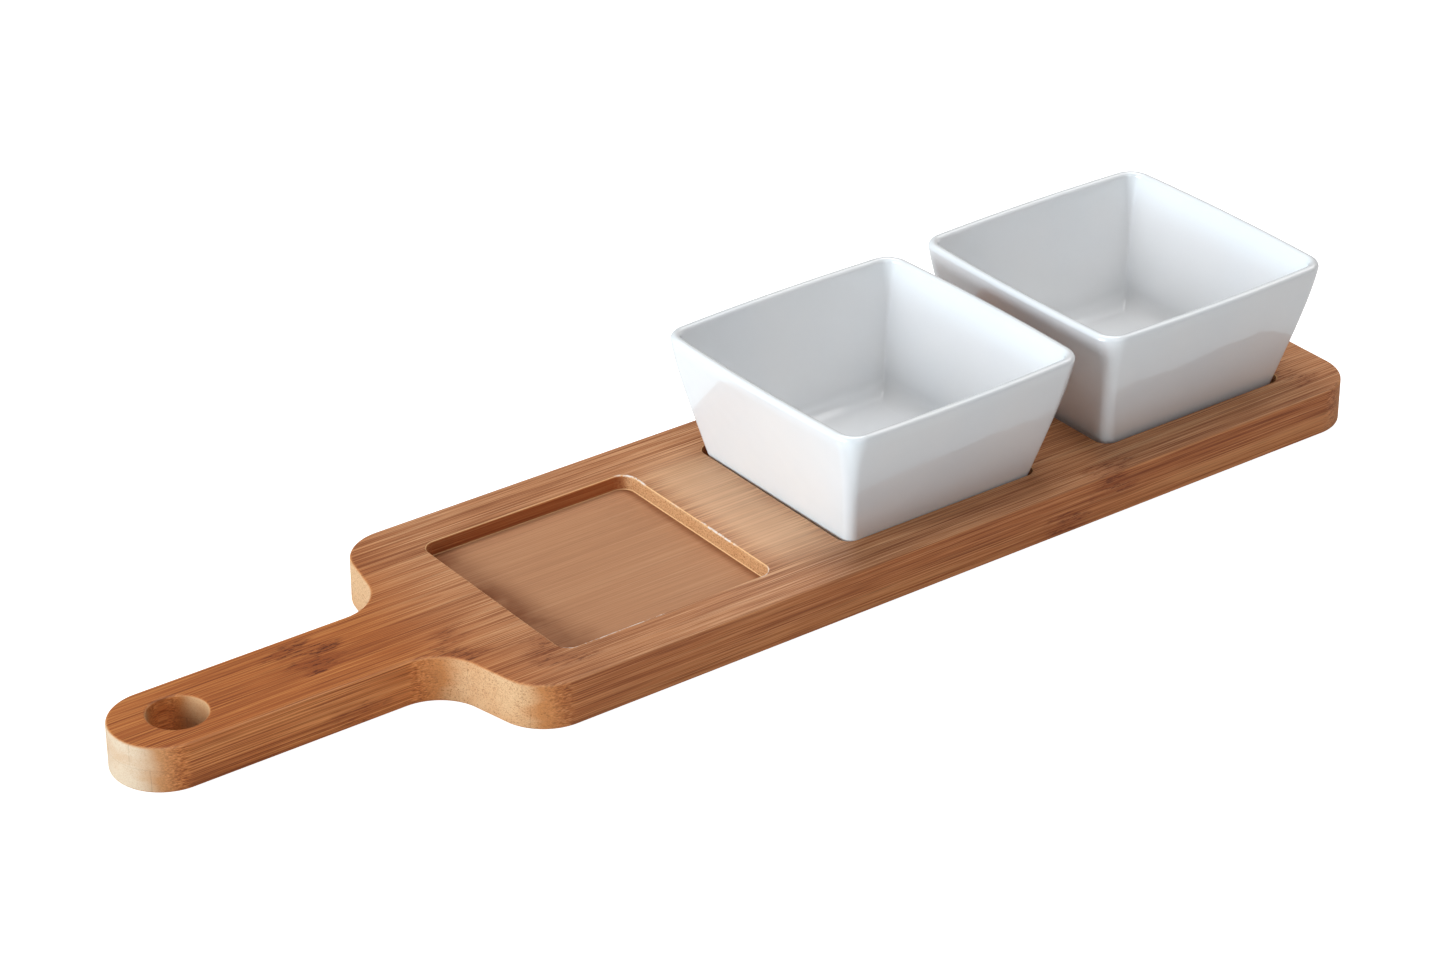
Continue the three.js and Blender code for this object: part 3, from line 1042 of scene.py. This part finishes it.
def soft_box(name, azimuth, elevation, size, power, colour):
    """A rectangular soft light that faces the middle of the board."""
    lamp = bpy.data.lights.new(name, "AREA")
    lamp.shape = "RECTANGLE"
    lamp.size, lamp.size_y = size
    lamp.energy = power
    lamp.color = colour
    light = bpy.data.objects.new(name, lamp)
    back = look_from(math.radians(azimuth), math.radians(elevation))
    light.location = back * LAMP_DISTANCE
    light.rotation_mode = "QUATERNION"
    light.rotation_quaternion = back.to_track_quat("Z", "Y")
    bpy.context.scene.collection.objects.link(light)


class SERVER_OT_stage(bpy.types.Operator):
    """Set out the white floor, the soft lights and the camera"""

    bl_idname = "server.stage"
    bl_label = "Studio"

    def execute(self, context):
        studio = context.scene.server_studio
        scene = context.scene

        mesh = bmesh.new()
        bmesh.ops.create_grid(mesh, x_segments=8, y_segments=8, size=6)
        data = bpy.data.meshes.new("studio_floor")
        mesh.to_mesh(data)
        mesh.free()
        data.materials.append(floor_material(studio.glow))
        floor = bpy.data.objects.new("studio_floor", data)
        floor.location.z = -0.02 * MM
        scene.collection.objects.link(floor)

        world = bpy.data.worlds.new("studio_surround")
        world.use_nodes = True
        surround = world.node_tree.nodes["Background"]
        surround.inputs["Color"].default_value = (1, 1, 1, 1)
        surround.inputs["Strength"].default_value = studio.surround
        scene.world = world

        for name, (azimuth, elevation, size, colour) in LAMPS.items():
            power = getattr(studio, name)
            soft_box(name + "_light", azimuth, elevation, size, power, colour)

        lens = bpy.data.cameras.new("studio_camera")
        lens.lens = studio.lens
        lens.sensor_width = 36
        lens.clip_end = 50
        camera = bpy.data.objects.new("studio_camera", lens)
        back = look_from(studio.azimuth, studio.elevation)
        camera.location = Vector((studio.aim_x, studio.aim_y, 0)) + back * studio.distance
        camera.rotation_mode = "QUATERNION"
        level = back.to_track_quat("Z", "Y").to_matrix()
        roll = Matrix.Rotation(studio.roll, 3, "Z")
        camera.rotation_quaternion = (level @ roll).to_quaternion()
        scene.collection.objects.link(camera)
        scene.camera = camera

        scene.view_settings.view_transform = "Standard"
        scene.view_settings.look = "None"
        return {"FINISHED"}


# ---------------------------------------------------------------- panel


class SERVER_PT_panel(bpy.types.Panel):
    """Lists the operators in the 3D view's sidebar"""

    bl_idname = "SERVER_PT_panel"
    bl_label = "Chip and dip server"
    bl_space_type = "VIEW_3D"
    bl_region_type = "UI"
    bl_category = "Server"

    def draw(self, context):
        for operator in (SERVER_OT_stage, SERVER_OT_board, SERVER_OT_bowls):
            self.layout.operator(operator.bl_idname)


CLASSES = [
    StripFinish,
    *SETTINGS.values(),
    SERVER_OT_stage,
    SERVER_OT_board,
    SERVER_OT_bowls,
    SERVER_PT_panel,
]


def register():
    for kind in CLASSES:
        bpy.utils.register_class(kind)
    for name, kind in SETTINGS.items():
        setattr(bpy.types.Scene, name, PointerProperty(type=kind))
    bpy.types.Scene.server_strips = CollectionProperty(type=StripFinish)


def unregister():
    del bpy.types.Scene.server_strips
    for name in SETTINGS:
        delattr(bpy.types.Scene, name)
    for kind in reversed(CLASSES):
        bpy.utils.unregister_class(kind)


def main():
    register()
    for name in TOP_STRIPS + BOTTOM_STRIPS:
        tone, ring, node_x, node_gap = STRIP_FINISHES[name]
        finish = bpy.context.scene.server_strips.add()
        finish.name = name
        finish.tone = tone
        finish.ring = ring
        finish.node_x = node_x * MM
        finish.node_gap = node_gap * MM
    bpy.ops.server.stage()
    bpy.ops.server.board()
    bpy.ops.server.bowls()


if __name__ == "__main__":
    main()
